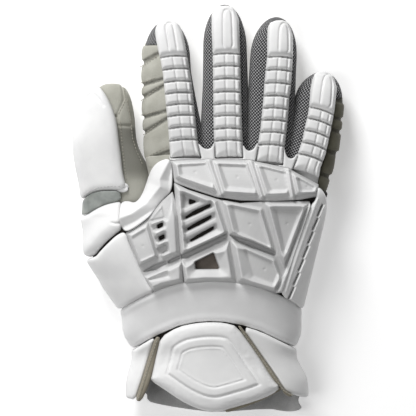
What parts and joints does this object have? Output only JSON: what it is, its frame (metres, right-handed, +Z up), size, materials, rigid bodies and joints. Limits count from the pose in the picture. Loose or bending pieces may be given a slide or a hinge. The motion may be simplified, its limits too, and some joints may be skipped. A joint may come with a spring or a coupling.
{
  "type": "lacrosse glove",
  "caption": "Padded right-hand sport glove lying palm down: open hand, finger and thumb hollows, ribbed foam finger strips, vented armour on the back, wrist strap and flared cuff",
  "frame": {"origin": "middle of the glove's bounding box, on the surface that it lies on", "axes": "+Y along the fingers, +Z up out of the glove's back, -X towards the thumb"},
  "size_m": [0.2176, 0.3298, 0.0649],
  "materials": {
    "foam": "white synthetic leather over moulded foam, soft satin",
    "strap_webbing": "smooth white synthetic leather strap, satin",
    "palm_leather": "grey synthetic suede, matte",
    "beige_leather": "stone beige grained leather, matte",
    "side_leather": "olive taupe grained leather, matte",
    "knit_mesh": "heather grey open knit, matte",
    "back_fabric": "dark brown grey woven backing, matte",
    "reflective_band": "grey retroreflective tape, satin",
    "binding": "beige woven edge binding, matte",
    "cuff_lining": "grey brushed lining over white foam, matte"
  },
  "bodies": {
    "root": {"palm": "palm_leather", "hand_back": "back_fabric", "thumb_leather": "beige_leather", "knuckle_plate": "foam", "back_plate": "foam", "gill_plate": "foam", "wing": "foam", "side_panel": "foam", "thumb_side_panel": "foam", "thumb_shell": "foam", "thumb_base_pad": "foam", "thumb_band": "reflective_band", "thumb_tab": "foam", "wrist_strap": "strap_webbing", "cuff_shield": "foam", "cuff_left_flap": "foam", "cuff_right_flap": "foam", "cuff_left_binding": "binding", "cuff_right_binding": "binding", "cuff_palm": "cuff_lining", "index_leather": "beige_leather", "index_mesh": "knit_mesh", "index_back": "foam", "middle_leather": "palm_leather", "middle_mesh": "knit_mesh", "middle_back": "foam", "ring_leather": "palm_leather", "ring_mesh": "knit_mesh", "ring_back": "foam", "pinky_leather": "side_leather", "pinky_mesh": "knit_mesh", "pinky_back": "foam"}
  },
  "joints": []
}
